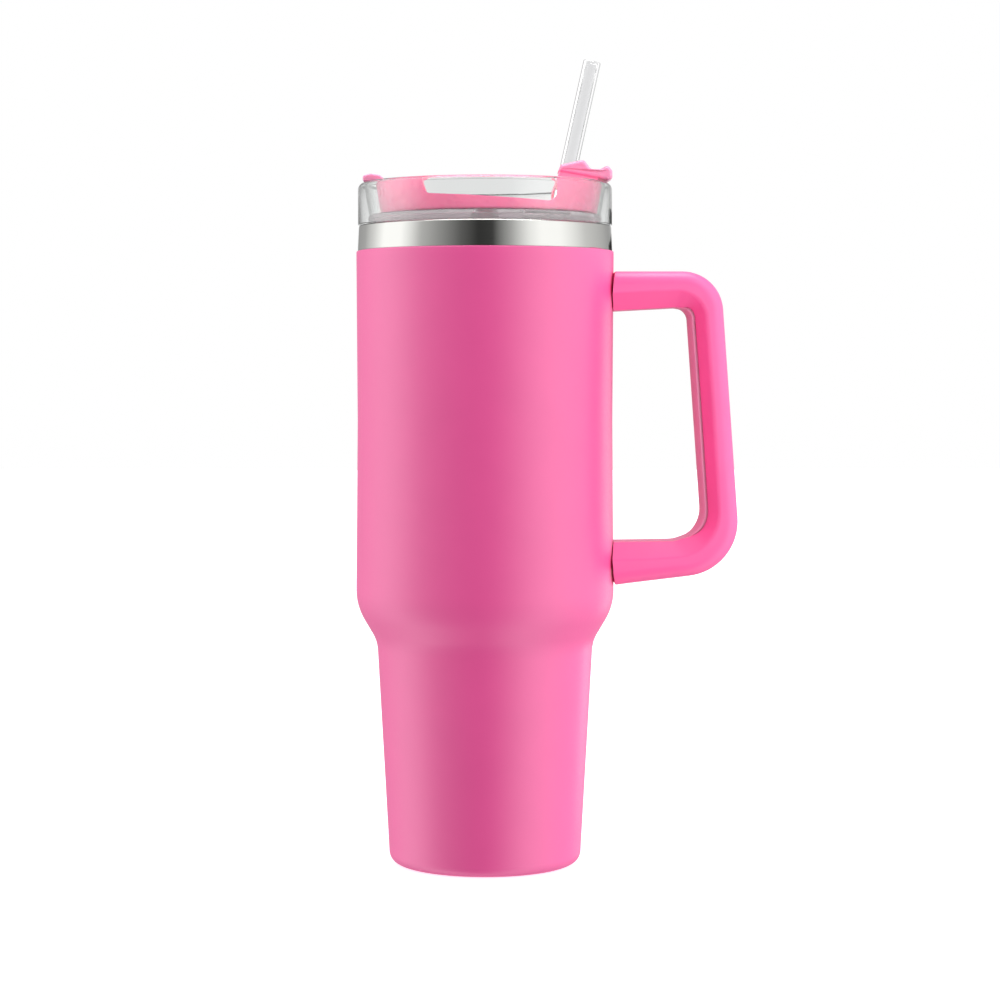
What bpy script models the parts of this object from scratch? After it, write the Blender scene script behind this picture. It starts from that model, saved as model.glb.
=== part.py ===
"""Insulated tumbler with a side handle, a clear push-in lid, a turning cover and a straw.

The dimensions below are in millimetres and become metres when a mesh is made. +Z is up, the
origin is the centre of the base on the cup's axis, and the handle is on the +X side.
"""

import math

import bmesh
import bpy
from mathutils import Matrix, Vector

MM = 0.001
GAP = 0.3  # clearance between neighbouring pieces
ROUND_STEPS = 40  # facets around the cup's axis, shared so that nested facets line up
SMALL_STEPS = 20  # facets around small round pieces
FILLET_STEPS = 3  # chords in one rounded corner of an outline
BORE_TURN = 4.0  # degrees

# Cup
BODY_R = 49.4
BODY_TOP = 234.3
FOOT_R = 36.49  # where the lower taper would meet the floor
FOOT_FILLET = 4.5
FOOT_INNER_R = 30.5
WAIST_HIGH = (BODY_R, 98.4)
WAIST_LOW = (41.38, 84.9)
WAIST_HIGH_FILLET = 22.0
WAIST_LOW_FILLET = 15.0
SHELL_WALL = 1.0
LINER_WALL = 0.8
LINER_INSET = 3.2  # from the outer surface to the liner's outer side
FOIL_INSET = 2.5
FOIL_WALL = 0.3
LINER_FLOOR = 9.0
LINER_FLOOR_FILLET = 6.0

# Bare steel neck and mouth
NECK_BOTTOM_R = 48.9
NECK_TOP_R = 48.45
NECK_BOTTOM = BODY_TOP + GAP
LIP_TOP = 244.2
MOUTH_R = 46.0
MOUTH_SHOULDER = 234.5

# Base
COVER_PLATE_BOTTOM = 0.8
GETTER_X = 14.0

# Lid
LID_R = 48.8
LID_WALL = 1.2
LID_BOTTOM = LIP_TOP + 0.4
LID_TOP = 260.5
LID_RIM = 1.5  # depth of the solid rim above the hollow in the double wall
LID_FLOOR_TOP = 248.1
LID_FLOOR = 1.2
RECESS_TOP_R = 45.2
RECESS_BOTTOM_R = 43.7
SKIRT_R = 44.8
SKIRT_WALL = 2.4
SKIRT_BOTTOM = 236.0
SHELF_TOP = 251.2
HUB_HOLE_R = 3.6
SLOT_MID_R = 28.0
SLOT_HALF_WIDTH = 5.5
SLOT_HALF_ANGLE = 52.0
GROOVE = (238.0, 242.0)
GROOVE_R = 43.9

# Turning cover
DISH_SHIFT = 1.6  # the dish reaches further on the straw's side than on the drinking side
DISH_TOP = 260.3
DISH_TOP_R = 43.1
DISH_BOTTOM = 248.6
DISH_BOTTOM_R = 41.4
DISH_WALL = 1.8
DISH_FLOOR_TOP = 250.8
DECK = (258.6, 260.1)
DECK_R = 41.9
NOTCH = (-22.8, 26.6)
NOTCH_BOTTOM = (255.0, 252.0)
NOTCH_FILLET = 3.5
STEM_R = 3.1
BARB_R = 3.9
PAD_R = (19.5, 36.0)
PAD_DEPTH = 1.2
STEM_BOTTOM = 242.0
DRINK_X = -29.5
DRINK_R = 4.3
DRINK_LEAN = -17.0  # degrees from upright, so that the spout meets the deck nearer the rim
TAB_HALF_WIDTH = 8.0

# Straw
STRAW_R = 3.35
STRAW_BORE_R = 2.65
STRAW_LENGTH = 304.0
STRAW_TOP = (41.2, 0.0, 307.3)
STRAW_LEAN = 12.53  # degrees from upright, towards +X

# Handle
HANDLE_WIDTH = 26.0
HANDLE_BEVEL = 5.0  # width of the bevel along both edges of the inner face
HANDLE_BEVEL_END = 6.3  # its depth, from the crown of the inner face
HANDLE_CROWN = 1.6  # how far the middle of the inner panel stands proud of the shell's edges
HANDLE_LIP = 1.0
HANDLE_WALL = 2.6
HANDLE_BACK = 2.6
PANEL_THICK = 2.7
HANDLE_OUTER = [(50.4, 226.4, 0.0), (89.9, 226.4, 15.5), (97.8, 112.6, 21.0), (50.2, 106.8, 0.0)]
HANDLE_INNER = [(49.75, 211.3, 0.0), (77.2, 212.8, 5.0), (83.3, 123.75, 12.0), (49.75, 123.2, 0.0)]
TONGUE_END = 66.0
SCREW_X = 60.0
SCREW_R = 1.6

PINK = (0.95, 0.16, 0.42)
DEEP_PINK = (0.88, 0.12, 0.36)
STEEL = (0.62, 0.62, 0.60)
CLEAR = (0.92, 0.94, 0.94)
SILICONE = (0.86, 0.87, 0.88)


def clear_scene():
    for item in list(bpy.data.objects):
        bpy.data.objects.remove(item, do_unlink=True)


def material(name, colour, roughness, metallic=0.0, transmission=0.0):
    made = bpy.data.materials.new(name)
    made.use_nodes = True
    shader = made.node_tree.nodes["Principled BSDF"]
    shader.inputs["Base Color"].default_value = (*colour, 1.0)
    shader.inputs["Roughness"].default_value = roughness
    shader.inputs["Metallic"].default_value = metallic
    shader.inputs["Transmission Weight"].default_value = transmission
    return made


def add_object(name, bm, look, place=None):
    """Turn a bmesh in millimetres into a named object in metres, faces pointing out."""
    bmesh.ops.transform(bm, matrix=Matrix.Scale(MM, 4), verts=bm.verts)
    bmesh.ops.recalc_face_normals(bm, faces=bm.faces)
    mesh = bpy.data.meshes.new(name)
    bm.to_mesh(mesh)
    bm.free()
    if look:
        mesh.materials.append(look)
    mesh.shade_smooth()
    mesh.set_sharp_from_angle(angle=math.radians(35))
    made = bpy.data.objects.new(name, mesh)
    bpy.context.scene.collection.objects.link(made)
    if place:
        made.matrix_world = place
    return made


def rounded(corners, steps=FILLET_STEPS):
    """Points along the open line through corners of (a, b, fillet radius)."""
    points = [Vector(corners[0][:2])]
    for before, corner, after in zip(corners, corners[1:], corners[2:]):
        here = Vector(corner[:2])
        if corner[2] <= 0:
            points.append(here)
            continue
        back = (Vector(before[:2]) - here).normalized()
        ahead = (Vector(after[:2]) - here).normalized()
        half = back.angle(ahead) / 2
        centre = here + (back + ahead).normalized() * (corner[2] / math.sin(half))
        start = here + back * (corner[2] / math.tan(half)) - centre
        end = here + ahead * (corner[2] / math.tan(half)) - centre
        for step in range(steps + 1):
            arm = start.slerp(end, step / steps)
            points.append(centre + arm.normalized() * corner[2])
    points.append(Vector(corners[-1][:2]))
    return points


def rounded_loop(corners, steps=FILLET_STEPS):
    """The same for a closed outline."""
    wrapped = [corners[-1], *corners, corners[0]]
    return rounded(wrapped, steps)[1:-1]


def lathe(name, outline, look, steps=ROUND_STEPS, place=None):
    """Turn a closed outline of (radius, height) points around Z."""
    bm = bmesh.new()
    rings = []
    for radius, height in outline:
        if radius < 1e-6:
            rings.append([bm.verts.new((0, 0, height))])
            continue
        ring = []
        for step in range(steps):
            turn = math.tau * step / steps
            ring.append(bm.verts.new((radius * math.cos(turn), radius * math.sin(turn), height)))
        rings.append(ring)
    for first, second in zip(rings, rings[1:] + rings[:1]):
        if len(first) == 1 and len(second) == 1:
            continue
        for step in range(steps):
            following = (step + 1) % steps
            corners = [first[step % len(first)], first[following % len(first)]]
            corners += [second[following % len(second)], second[step % len(second)]]
            bm.faces.new(list(dict.fromkeys(corners)))
    return add_object(name, bm, look, place)


def stack(name, sections, look):
    """A solid through cross-sections that have the same number of points, capped at both ends."""
    bm = bmesh.new()
    loops = [[bm.verts.new(point) for point in section] for section in sections]
    for first, second in zip(loops, loops[1:]):
        for index in range(len(first)):
            after = (index + 1) % len(first)
            bm.faces.new([first[index], first[after], second[after], second[index]])
    bm.faces.new(loops[0])
    bm.faces.new(loops[-1])
    return add_object(name, bm, look)


def prism(name, outline, low, high, look):
    """An outline of (x, z) points extruded along Y."""
    return stack(name, [[(x, y, z) for x, z in outline] for y in (low, high)], look)


def box(name, low, high, look):
    outline = [(low[0], low[2]), (high[0], low[2]), (high[0], high[2]), (low[0], high[2])]
    return prism(name, outline, low[1], high[1], look)


def tube_outline(inner, outer, low, high):
    return [(inner, low), (outer, low), (outer, high), (inner, high)]


def disc_outline(radius, low, high):
    return [(0, low), (radius, low), (radius, high), (0, high)]


def combine(target, tool, operation):
    """Add a Boolean with a tool that stays in the scene as a guide only."""
    step = target.modifiers.new(tool.name, "BOOLEAN")
    step.operation = operation
    step.object = tool
    tool.hide_render = True
    tool.display_type = "WIRE"


def upright(x, y, z):
    return Matrix.Translation(Vector((x, y, z)) * MM)


def turned(place):
    """A placement turned a little, so that a bore's corners miss the facet edges it crosses."""
    return place @ Matrix.Rotation(math.radians(BORE_TURN), 4, "Z")


def straw_point(height):
    """The point of the straw's axis at a height."""
    drop = STRAW_TOP[2] - height
    return (STRAW_TOP[0] - drop * math.tan(math.radians(STRAW_LEAN)), 0.0, height)


def along_straw(height):
    """A placement whose Z runs up the straw from a height."""
    return upright(*straw_point(height)) @ Matrix.Rotation(math.radians(STRAW_LEAN), 4, "Y")


def lower_radius(height, inset):
    """The tapered lower body's radius, moved in by an inset."""
    slope = (WAIST_LOW[0] - FOOT_R) / WAIST_LOW[1]
    return FOOT_R + height * slope - inset


def wall_line(inset, bottom, fillet, end_r):
    """The body's side, moved in by an inset, from the upper body down to a flat bottom."""
    turn = math.atan2(WAIST_HIGH[0] - WAIST_LOW[0], WAIST_HIGH[1] - WAIST_LOW[1])
    rise = inset * math.tan(turn / 2)
    corners = [(BODY_R - inset, BODY_TOP, 0)]
    corners.append((BODY_R - inset, WAIST_HIGH[1] + rise, WAIST_HIGH_FILLET - inset))
    corners.append((WAIST_LOW[0] - inset, WAIST_LOW[1] + rise, WAIST_LOW_FILLET + inset))
    corners.append((lower_radius(bottom, inset), bottom, fillet))
    corners.append((end_r, bottom, 0))
    return rounded(corners)


def make_outer_shell(look):
    outer = wall_line(0, 0, FOOT_FILLET, FOOT_INNER_R)
    inner = wall_line(SHELL_WALL, SHELL_WALL, FOOT_FILLET - SHELL_WALL, FOOT_INNER_R)
    return lathe("outer_shell", outer + inner[::-1], look)


def make_inner_liner(look):
    """Liner, rolled lip and bare neck band, one piece folded back on itself at the mouth."""
    inner_inset = LINER_INSET + LINER_WALL
    outside = [(NECK_BOTTOM_R, NECK_BOTTOM, 0), (NECK_TOP_R, LIP_TOP, 0.9), (MOUTH_R, LIP_TOP, 0.9)]
    outside += [(MOUTH_R, MOUTH_SHOULDER, 0), (BODY_R - inner_inset, MOUTH_SHOULDER - 1.5, 0)]
    inside = wall_line(inner_inset, LINER_FLOOR, LINER_FLOOR_FILLET, 0)[1:]
    underside = LINER_FLOOR - LINER_WALL
    back = wall_line(LINER_INSET, underside, LINER_FLOOR_FILLET + LINER_WALL, 0)[:0:-1]
    shoulder = MOUTH_SHOULDER - 2.0
    fold = [(BODY_R - LINER_INSET, shoulder), (MOUTH_R + LINER_WALL, MOUTH_SHOULDER - 0.2)]
    fold += [(MOUTH_R + LINER_WALL, LIP_TOP - 5), (NECK_TOP_R - 0.6, LIP_TOP - 5)]
    fold += [(NECK_BOTTOM_R - SHELL_WALL, NECK_BOTTOM)]
    return lathe("inner_liner", rounded(outside) + inside + back + fold, look)


def make_base_pieces(steel, solder, getter_look):
    low = COVER_PLATE_BOTTOM
    rim = FOOT_INNER_R - GAP
    cover = [(0, low), (rim, low), (rim, low + 0.5), (rim + 3, low + 0.5)]
    cover += [(rim + 3, low + 1.3), (0, low + 1.3)]
    lathe("base_cover", cover, steel)
    plate = [(1.0, 3.6), (6, 3.6), (8, 2.6), (34.6, 2.6), (34.6, 3.4), (8.4, 3.4), (6.4, 4.4)]
    plate += [(1.0, 4.4)]
    lathe("vacuum_base_plate", plate, steel)
    bead = [(0, 2.4), (1.6, 2.4), (2.4, 2.9), (2.0, 3.3), (0, 3.3)]
    lathe("vacuum_seal_bead", bead, solder, SMALL_STEPS)
    getter = disc_outline(4.0, 0, 2.2)
    lathe("getter_capsule", getter, getter_look, SMALL_STEPS, upright(GETTER_X, 0, 3.4 + GAP))


def make_foil(look):
    """The wrap that covers the liner's straight upper part."""
    outer = BODY_R - FOIL_INSET
    outline = tube_outline(outer - FOIL_WALL, outer, WAIST_HIGH[1] + 9, BODY_TOP - 6)
    return lathe("heat_shield_foil", outline, look)


def handle_section(inner, outer, corners):
    """Place a flat outline of (across, out from the inner face) between two points of (x, z)."""
    reach = (outer - inner).normalized()
    placed = []
    for across, out in corners:
        point = inner + reach * out
        placed.append((point[0], across, point[1]))
    return placed


def channel_outline(thick):
    """The shell's section: bevelled towards the inner face, hollow inside, open at the inner face."""
    half = HANDLE_WIDTH / 2
    face = half - HANDLE_BEVEL
    slot = face - HANDLE_LIP
    deep = half - HANDLE_WALL
    back = thick - HANDLE_BACK
    right = [(face, HANDLE_CROWN, 0.3), (slot, HANDLE_CROWN, 0), (slot, 3.8, 0)]
    right += [(deep, 6.8, 0), (deep, back, 0)]
    left = [(-across, out, fillet) for across, out, fillet in reversed(right)]
    sides = [(-half, HANDLE_BEVEL_END, 1.0), (-half, thick, 4.0), (half, thick, 4.0)]
    return rounded_loop([*right, *left, *sides, (half, HANDLE_BEVEL_END, 1.0)], 3)


def panel_outline():
    """The strip that closes the shell, crowned towards the hand."""
    half = HANDLE_WIDTH / 2 - HANDLE_BEVEL - HANDLE_LIP - GAP
    shares = (1, 0.67, 0.33, 0, -0.33, -0.67, -1)
    crown = [(half * share, HANDLE_CROWN * share**2) for share in shares]
    return [*crown, (-half, PANEL_THICK), (half, PANEL_THICK)]


def arm_boss(name, bottom, top, look):
    return lathe(name, disc_outline(4.2, bottom, top), look, SMALL_STEPS, upright(SCREW_X, 0, 0))


def pilot_hole(name, bottom, top, radius):
    place = turned(upright(SCREW_X, 0, 0))
    return lathe(name, disc_outline(radius, bottom, top), None, SMALL_STEPS, place)


def make_handle(shell_look, panel_look, steel, tongues):
    outer = rounded(HANDLE_OUTER, 5)
    inner = rounded(HANDLE_INNER, 5)
    stations = list(zip(inner, outer))
    sections = [handle_section(a, b, channel_outline((b - a).length)) for a, b in stations]
    shell = stack("handle_shell", sections, shell_look)
    inset = 1.2  # the panel stops short of the channel's open ends
    ends = [inner[0] + Vector((inset, 0)), *inner[1:-1], inner[-1] + Vector((inset, 0))]
    panel = [handle_section(a, b, panel_outline()) for a, b in zip(ends, outer)]
    stack("handle_inner_panel", panel, panel_look)
    for place, level, sign in tongues:
        near = level + sign * 2.3
        far = level + sign * 6.0
        boss = arm_boss(f"{place}_boss", min(near, far), max(near, far), shell_look)
        combine(shell, boss, "UNION")
        tip = level + sign * 5.2
        hole = pilot_hole(f"{place}_pilot", min(near - sign, tip), max(near - sign, tip), SCREW_R + GAP)
        combine(shell, hole, "DIFFERENCE")
        make_bracket(f"{place}_handle_bracket", level, steel)
        make_screw(f"{place}_handle_screw", level, sign, steel)


def make_bracket(name, level, look):
    """A foot plate that follows the cup's wall, with a tongue that reaches into the arm."""
    bracket = box(name, (46, -6.6, level - 4), (51.6, 6.6, level + 4), look)
    seat = lathe(f"{name}_seat", disc_outline(BODY_R + GAP, level - 9, level + 9), None)
    combine(bracket, seat, "DIFFERENCE")
    tongue = box(f"{name}_tongue", (51, -5.5, level - 2), (TONGUE_END, 5.5, level + 2), look)
    combine(bracket, tongue, "UNION")
    hole = pilot_hole(f"{name}_hole", level - 5, level + 5, SCREW_R + GAP)
    combine(bracket, hole, "DIFFERENCE")


def make_screw(name, level, sign, look):
    """A pan-head screw whose head bears on the tongue and whose tip ends in the shell's boss."""
    head = 3.1
    outline = [(0, -4.3), (head - 0.6, -4.3), (head, -3.7), (head, -2.3), (SCREW_R, -2.3)]
    outline += [(SCREW_R, 4.2), (SCREW_R - 0.7, 4.9), (0, 4.9)]
    placed = [(radius, level + sign * height) for radius, height in outline]
    lathe(name, placed, look, SMALL_STEPS, upright(SCREW_X, 0, 0))


def slot_cutter(name, low, high):
    """An arc-shaped opening with round ends, centred on the straw's side."""
    points = []
    bend = math.radians(SLOT_HALF_ANGLE)
    steps = 12
    for side in (1, -1):
        radius = SLOT_MID_R + side * SLOT_HALF_WIDTH
        for step in range(steps + 1):
            turn = side * bend * (2 * step / steps - 1)
            points.append((radius * math.cos(turn), radius * math.sin(turn)))
        centre = (SLOT_MID_R * math.cos(bend), side * SLOT_MID_R * math.sin(bend))
        first = bend if side > 0 else math.pi - bend
        for step in range(1, 6):
            turn = first + math.pi * step / 6
            x = centre[0] + SLOT_HALF_WIDTH * math.cos(turn)
            points.append((x, centre[1] + SLOT_HALF_WIDTH * math.sin(turn)))
    return stack(name, [[(x, y, z) for x, y in points] for z in (low, high)], None)


def make_lid(look):
    """Clear lid: a double outer wall, a tapered recess, a floor and the skirt that enters the mouth."""
    floor_bottom = LID_FLOOR_TOP - LID_FLOOR
    wall_in = LID_R - LID_WALL
    skirt_in = SKIRT_R - SKIRT_WALL
    ceiling = LID_TOP - LID_RIM
    outline = [(LID_R, LID_BOTTOM, 0), (LID_R, LID_TOP, 3.0), (RECESS_TOP_R, LID_TOP, 0.6)]
    outline += [(RECESS_BOTTOM_R, LID_FLOOR_TOP, 0), (HUB_HOLE_R, LID_FLOOR_TOP, 0)]
    outline += [(HUB_HOLE_R, floor_bottom, 0), (skirt_in, floor_bottom, 0)]
    outline += [(skirt_in, SKIRT_BOTTOM, 0), (SKIRT_R, SKIRT_BOTTOM, 0)]
    outline += [(SKIRT_R, GROOVE[0], 0), (GROOVE_R, GROOVE[0], 0), (GROOVE_R, GROOVE[1], 0)]
    outline += [(SKIRT_R, GROOVE[1], 0), (SKIRT_R + 0.4, SHELF_TOP, 0)]
    outline += [(RECESS_TOP_R + 0.9, ceiling, 0), (wall_in, ceiling, 0.6), (wall_in, LID_BOTTOM, 0)]
    lid = lathe("lid_body", rounded_loop(outline), look)
    combine(lid, slot_cutter("lid_slot", floor_bottom - 2, LID_FLOOR_TOP + 2), "DIFFERENCE")
    return lid


def make_gasket(look):
    low, high = GROOVE
    inner = GROOVE_R + GAP
    body_r = SKIRT_R + 0.4
    lip_r = MOUTH_R - GAP
    outline = [(inner, low + GAP), (body_r, low + GAP), (lip_r, low + 0.9), (body_r, low + 1.6)]
    outline += [(body_r, high - 1.9), (lip_r, high - 1.2), (body_r, high - GAP), (inner, high - GAP)]
    return lathe("lid_gasket", outline, look)


def tab_outline_right():
    """The straw collar with its thumb tab, seen from the side as (x, z)."""
    corners = [(26.9, 259.3, 0), (29.0, 267.3, 1.2), (37.6, 269.1, 1.5), (40.4, 265.7, 1.6)]
    corners += [(44.0, 265.6, 3.0), (46.9, 267.0, 1.2), (48.7, 264.8, 1.2), (48.7, 262.0, 0.6)]
    corners += [(43.5, 261.2, 0.4), (43.0, 259.3, 0)]
    return rounded_loop(corners, 3)


def tab_outline_left():
    """The small tab on the drinking side, which reaches over the lid's rim."""
    corners = [(-46.6, 261.0, 0.4), (-46.6, 262.7, 0.9), (-43.5, 263.5, 1.5), (-40.8, 263.3, 2.5)]
    corners += [(-37.6, 261.2, 1.0), (-37.0, 259.3, 0), (-40.6, 259.3, 0), (-41.0, 261.0, 0.3)]
    return rounded_loop(corners, 3)


def make_cover(look):
    """A shallow dish on a snap-in stem, with a deck over each end and a low channel between."""
    dish = [(0, DISH_BOTTOM, 0), (DISH_BOTTOM_R, DISH_BOTTOM, 1.0), (DISH_TOP_R, DISH_TOP, 0.5)]
    dish += [(DISH_TOP_R - DISH_WALL, DISH_TOP, 0.5)]
    dish += [(DISH_BOTTOM_R - DISH_WALL, DISH_FLOOR_TOP, 0.8), (0, DISH_FLOOR_TOP, 0)]
    centre = upright(DISH_SHIFT, 0, 0)
    cover = lathe("rotating_cover", rounded(dish, 3), look, place=centre)
    combine(cover, lathe("end_decks", disc_outline(DECK_R, *DECK), None, place=centre), "UNION")
    stem = [(0, STEM_BOTTOM), (STEM_R - 0.4, STEM_BOTTOM), (BARB_R, STEM_BOTTOM + 0.4)]
    stem += [(BARB_R, STEM_BOTTOM + 0.8), (STEM_R, STEM_BOTTOM + 0.8), (STEM_R, DISH_BOTTOM + 1)]
    stem.append((0, DISH_BOTTOM + 1))
    combine(cover, lathe("cover_stem", stem, None, SMALL_STEPS), "UNION")
    pocket = tube_outline(PAD_R[0] - GAP, PAD_R[1] + GAP, DISH_BOTTOM - 1, DISH_BOTTOM + PAD_DEPTH + GAP)
    combine(cover, lathe("seal_pocket", pocket, None), "DIFFERENCE")
    notch = [(NOTCH[0] - 2.0, 280, 0), (NOTCH[0], NOTCH_BOTTOM[0], NOTCH_FILLET)]
    notch += [(NOTCH[1], NOTCH_BOTTOM[1], NOTCH_FILLET), (NOTCH[1], 280, 0)]
    combine(cover, prism("cover_notch", rounded_loop(notch), -60, 60, None), "DIFFERENCE")
    for name, outline in (("straw_tab", tab_outline_right()), ("drink_tab", tab_outline_left())):
        tab = prism(name, outline, -TAB_HALF_WIDTH, TAB_HALF_WIDTH, None)
        combine(cover, tab, "UNION")
    spout = Matrix.Rotation(math.radians(DRINK_LEAN), 4, "Y")
    bores = {
        "straw_bore": (STRAW_R + GAP, -4, 30, along_straw(253)),
        "grommet_seat": (5.0, -8, 5, along_straw(DISH_BOTTOM + 1.8)),
        "drink_bore": (DRINK_R, -5, 22, upright(DRINK_X, 0, DISH_BOTTOM) @ spout),
    }
    for name, (radius, low, high, place) in bores.items():
        bore = lathe(name, disc_outline(radius, low, high), None, SMALL_STEPS, turned(place))
        combine(cover, bore, "DIFFERENCE")
    return cover


def make_cover_seal(look):
    low, high = LID_FLOOR_TOP + GAP, DISH_BOTTOM + PAD_DEPTH
    seal = lathe("cover_seal", tube_outline(*PAD_R, low, high), look)
    openings = {"seal_straw_hole": straw_point(high)[0], "seal_drink_hole": DRINK_X}
    for name, x in openings.items():
        place = turned(upright(x, 0, 0))
        tool = lathe(name, disc_outline(5.4, 240, 255), None, SMALL_STEPS, place)
        combine(seal, tool, "DIFFERENCE")
    return seal


def make_cover_hub(retainer_look, washer_look):
    low = STEM_BOTTOM + 0.8 + GAP
    washer_high = LID_FLOOR_TOP - LID_FLOOR - GAP
    washer_low = washer_high - 0.8
    retainer = tube_outline(STEM_R + GAP, 5.2, low, washer_low - GAP)
    lathe("cover_retainer", retainer, retainer_look, SMALL_STEPS)
    washer = tube_outline(STEM_R + 0.4, 5.4, washer_low, washer_high)
    lathe("hub_washer", washer, washer_look, SMALL_STEPS)


def make_grommet(look):
    inner = STRAW_R + GAP
    outline = [(inner, 0), (4.7, 0), (4.7, 2.6), (6.0, 2.6), (6.0, 3.6), (inner, 3.9)]
    place = along_straw(DISH_BOTTOM + 1.2)
    return lathe("straw_grommet", outline, look, SMALL_STEPS, place)


def make_straw(look):
    edge = 0.25
    outline = [(STRAW_BORE_R, -STRAW_LENGTH), (STRAW_R, -STRAW_LENGTH), (STRAW_R, -edge)]
    outline += [(STRAW_R - edge, 0), (STRAW_BORE_R, 0)]
    return lathe("straw", outline, look, SMALL_STEPS, along_straw(STRAW_TOP[2]))


def main():
    clear_scene()
    pink_coat = material("pink_coat", PINK, 0.45)
    pink_plastic = material("pink_plastic", PINK, 0.35)
    grip = material("grip", DEEP_PINK, 0.5)
    steel = material("steel", STEEL, 0.25, 1.0)
    foil = material("foil", (0.75, 0.75, 0.76), 0.3, 1.0)
    clear = material("clear_plastic", CLEAR, 0.05, transmission=0.9)
    silicone = material("silicone", SILICONE, 0.5)
    solder = material("glass_solder", (0.35, 0.33, 0.30), 0.2)
    straw = material("straw_plastic", CLEAR, 0.2, transmission=0.6)

    make_outer_shell(pink_coat)
    make_inner_liner(steel)
    make_base_pieces(steel, solder, foil)
    make_foil(foil)
    make_handle(pink_plastic, grip, steel, [("upper", 219.4, 1), ("lower", 114.4, -1)])
    make_lid(clear)
    make_gasket(silicone)
    make_cover(pink_plastic)
    make_cover_seal(silicone)
    make_cover_hub(pink_plastic, silicone)
    make_grommet(silicone)
    make_straw(straw)


main()
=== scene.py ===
"""Looks of the insulated tumbler: fine surfaces, materials, studio light and camera.

Lengths of pieces are millimetres and become metres when a mesh is made, as in the CAD source. The
camera and the lamps are placed in metres.
"""

import math

import bmesh
import bpy
from mathutils import Matrix, Vector


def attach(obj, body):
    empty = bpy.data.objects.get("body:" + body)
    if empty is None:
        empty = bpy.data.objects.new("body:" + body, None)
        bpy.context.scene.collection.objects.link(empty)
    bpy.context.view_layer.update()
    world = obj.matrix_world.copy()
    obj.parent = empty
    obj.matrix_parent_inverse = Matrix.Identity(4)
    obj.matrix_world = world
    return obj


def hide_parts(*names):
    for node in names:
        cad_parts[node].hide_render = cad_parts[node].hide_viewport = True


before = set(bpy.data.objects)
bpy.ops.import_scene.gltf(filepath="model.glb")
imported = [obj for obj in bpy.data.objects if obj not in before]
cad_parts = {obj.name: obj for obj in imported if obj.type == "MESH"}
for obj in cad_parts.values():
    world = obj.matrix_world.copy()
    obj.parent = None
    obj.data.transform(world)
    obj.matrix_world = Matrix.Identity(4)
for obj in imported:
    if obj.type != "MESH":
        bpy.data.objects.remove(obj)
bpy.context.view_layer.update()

MM = 0.001
ROUND_STEPS = 192  # facets around the cup's axis
SMALL_STEPS = 64  # facets around small round pieces
FILLET_STEPS = 10  # chords in one rounded corner of an outline
TINY_STEPS = 4  # chords in a very small corner
BORE_TURN = 1.0  # degrees
GAP = 0.3  # clearance between neighbouring pieces

# Cup, as in the CAD source
BODY_R = 49.4
BODY_TOP = 234.3
FOOT_R = 36.49
FOOT_FILLET = 4.5
FOOT_INNER_R = 30.5
WAIST_HIGH = (BODY_R, 98.4)
WAIST_LOW = (41.38, 84.9)
WAIST_HIGH_FILLET = 22.0
WAIST_LOW_FILLET = 15.0
SHELL_WALL = 1.0
COAT_ROLL = 0.45  # rounding of the coat's top edge
LINER_WALL = 0.8
LINER_INSET = 3.2
LINER_FLOOR = 9.0
LINER_FLOOR_FILLET = 6.0
NECK_BOTTOM_R = 48.9
NECK_TOP_R = 48.45
NECK_BOTTOM = 234.6
LIP_TOP = 244.2
MOUTH_R = 46.0
MOUTH_SHOULDER = 234.5

# Lid, close to the CAD source: the wall is 0.3 mm thinner and reaches 0.3 mm lower, its closed top
# is 0.5 mm thinner, and the recess is 0.5 mm larger in radius at its top
LID_R = 48.8
LID_WALL = 0.9
LID_BOTTOM = LIP_TOP + 0.1
LID_TOP = 260.5
LID_RIM = 1.0
RECESS_WALL = 0.8
LID_FLOOR_TOP = 248.1
LID_FLOOR = 1.2
TOUCH = 0.02  # the wall stands this far above the floor, so that their faces never coincide
RECESS_TOP_R = 45.7
RECESS_BOTTOM_R = 43.7
SKIRT_R = 44.8
SKIRT_WALL = 2.4
SKIRT_BOTTOM = 236.0
HUB_HOLE_R = 3.6
SLOT_MID_R = 28.0
SLOT_HALF_WIDTH = 5.5
SLOT_HALF_ANGLE = 52.0
GROOVE = (238.0, 242.0)
GROOVE_R = 43.9

# Turning cover, close to the CAD source: the dish's top and the decks are 0.5 mm larger in radius
# and the channel is 0.5 mm lower. The tabs have outlines of their own.
DISH_SHIFT = 1.6
DISH_TOP = 260.3
DISH_TOP_R = 43.6
DISH_BOTTOM = 248.6
DISH_BOTTOM_R = 41.4
DISH_WALL = 1.8
DISH_FLOOR_TOP = 250.8
DECK = (258.6, 260.1)
DECK_R = 42.4
NOTCH = (-22.8, 26.6)
NOTCH_BOTTOM = (254.5, 251.5)
NOTCH_FILLET = 3.5
CUT_TOP = 280.0  # the channel's cutter reaches clear of the cover
CUT_HALF_WIDTH = 60.0
EDGE_ROUND = 0.35
STEM_R = 3.1
BARB_R = 3.9
PAD_R = (19.5, 36.0)
PAD_DEPTH = 1.2
STEM_BOTTOM = 242.0
DRINK_X = -29.5
DRINK_R = 4.3
DRINK_LEAN = -17.0
TAB_HALF_WIDTH = 8.0
COLLAR_HALF_WIDTH = 6.8
LEVER_DOME = 1.2  # how far a tab's flat sides lie inside its outline, with a rounding between
COLLAR_DOME = 0.5
DRINK_TAB_DOME = 0.6
DOME_DEPTH = 1.7  # how deep that rounding is across the tab, as a multiple of the same distance
DOME_STEPS = 6
STRAW_TAB = [
    (27.9, 264.6, 0.4), (28.9, 267.3, 1.2), (37.7, 269.2, 1.5), (40.4, 265.7, 1.6), (44.0, 265.5, 2.5),
    (46.9, 267.1, 1.2), (48.7, 265.0, 1.2), (48.7, 262.1, 0.8), (47.0, 261.2, 0.5),
]
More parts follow.
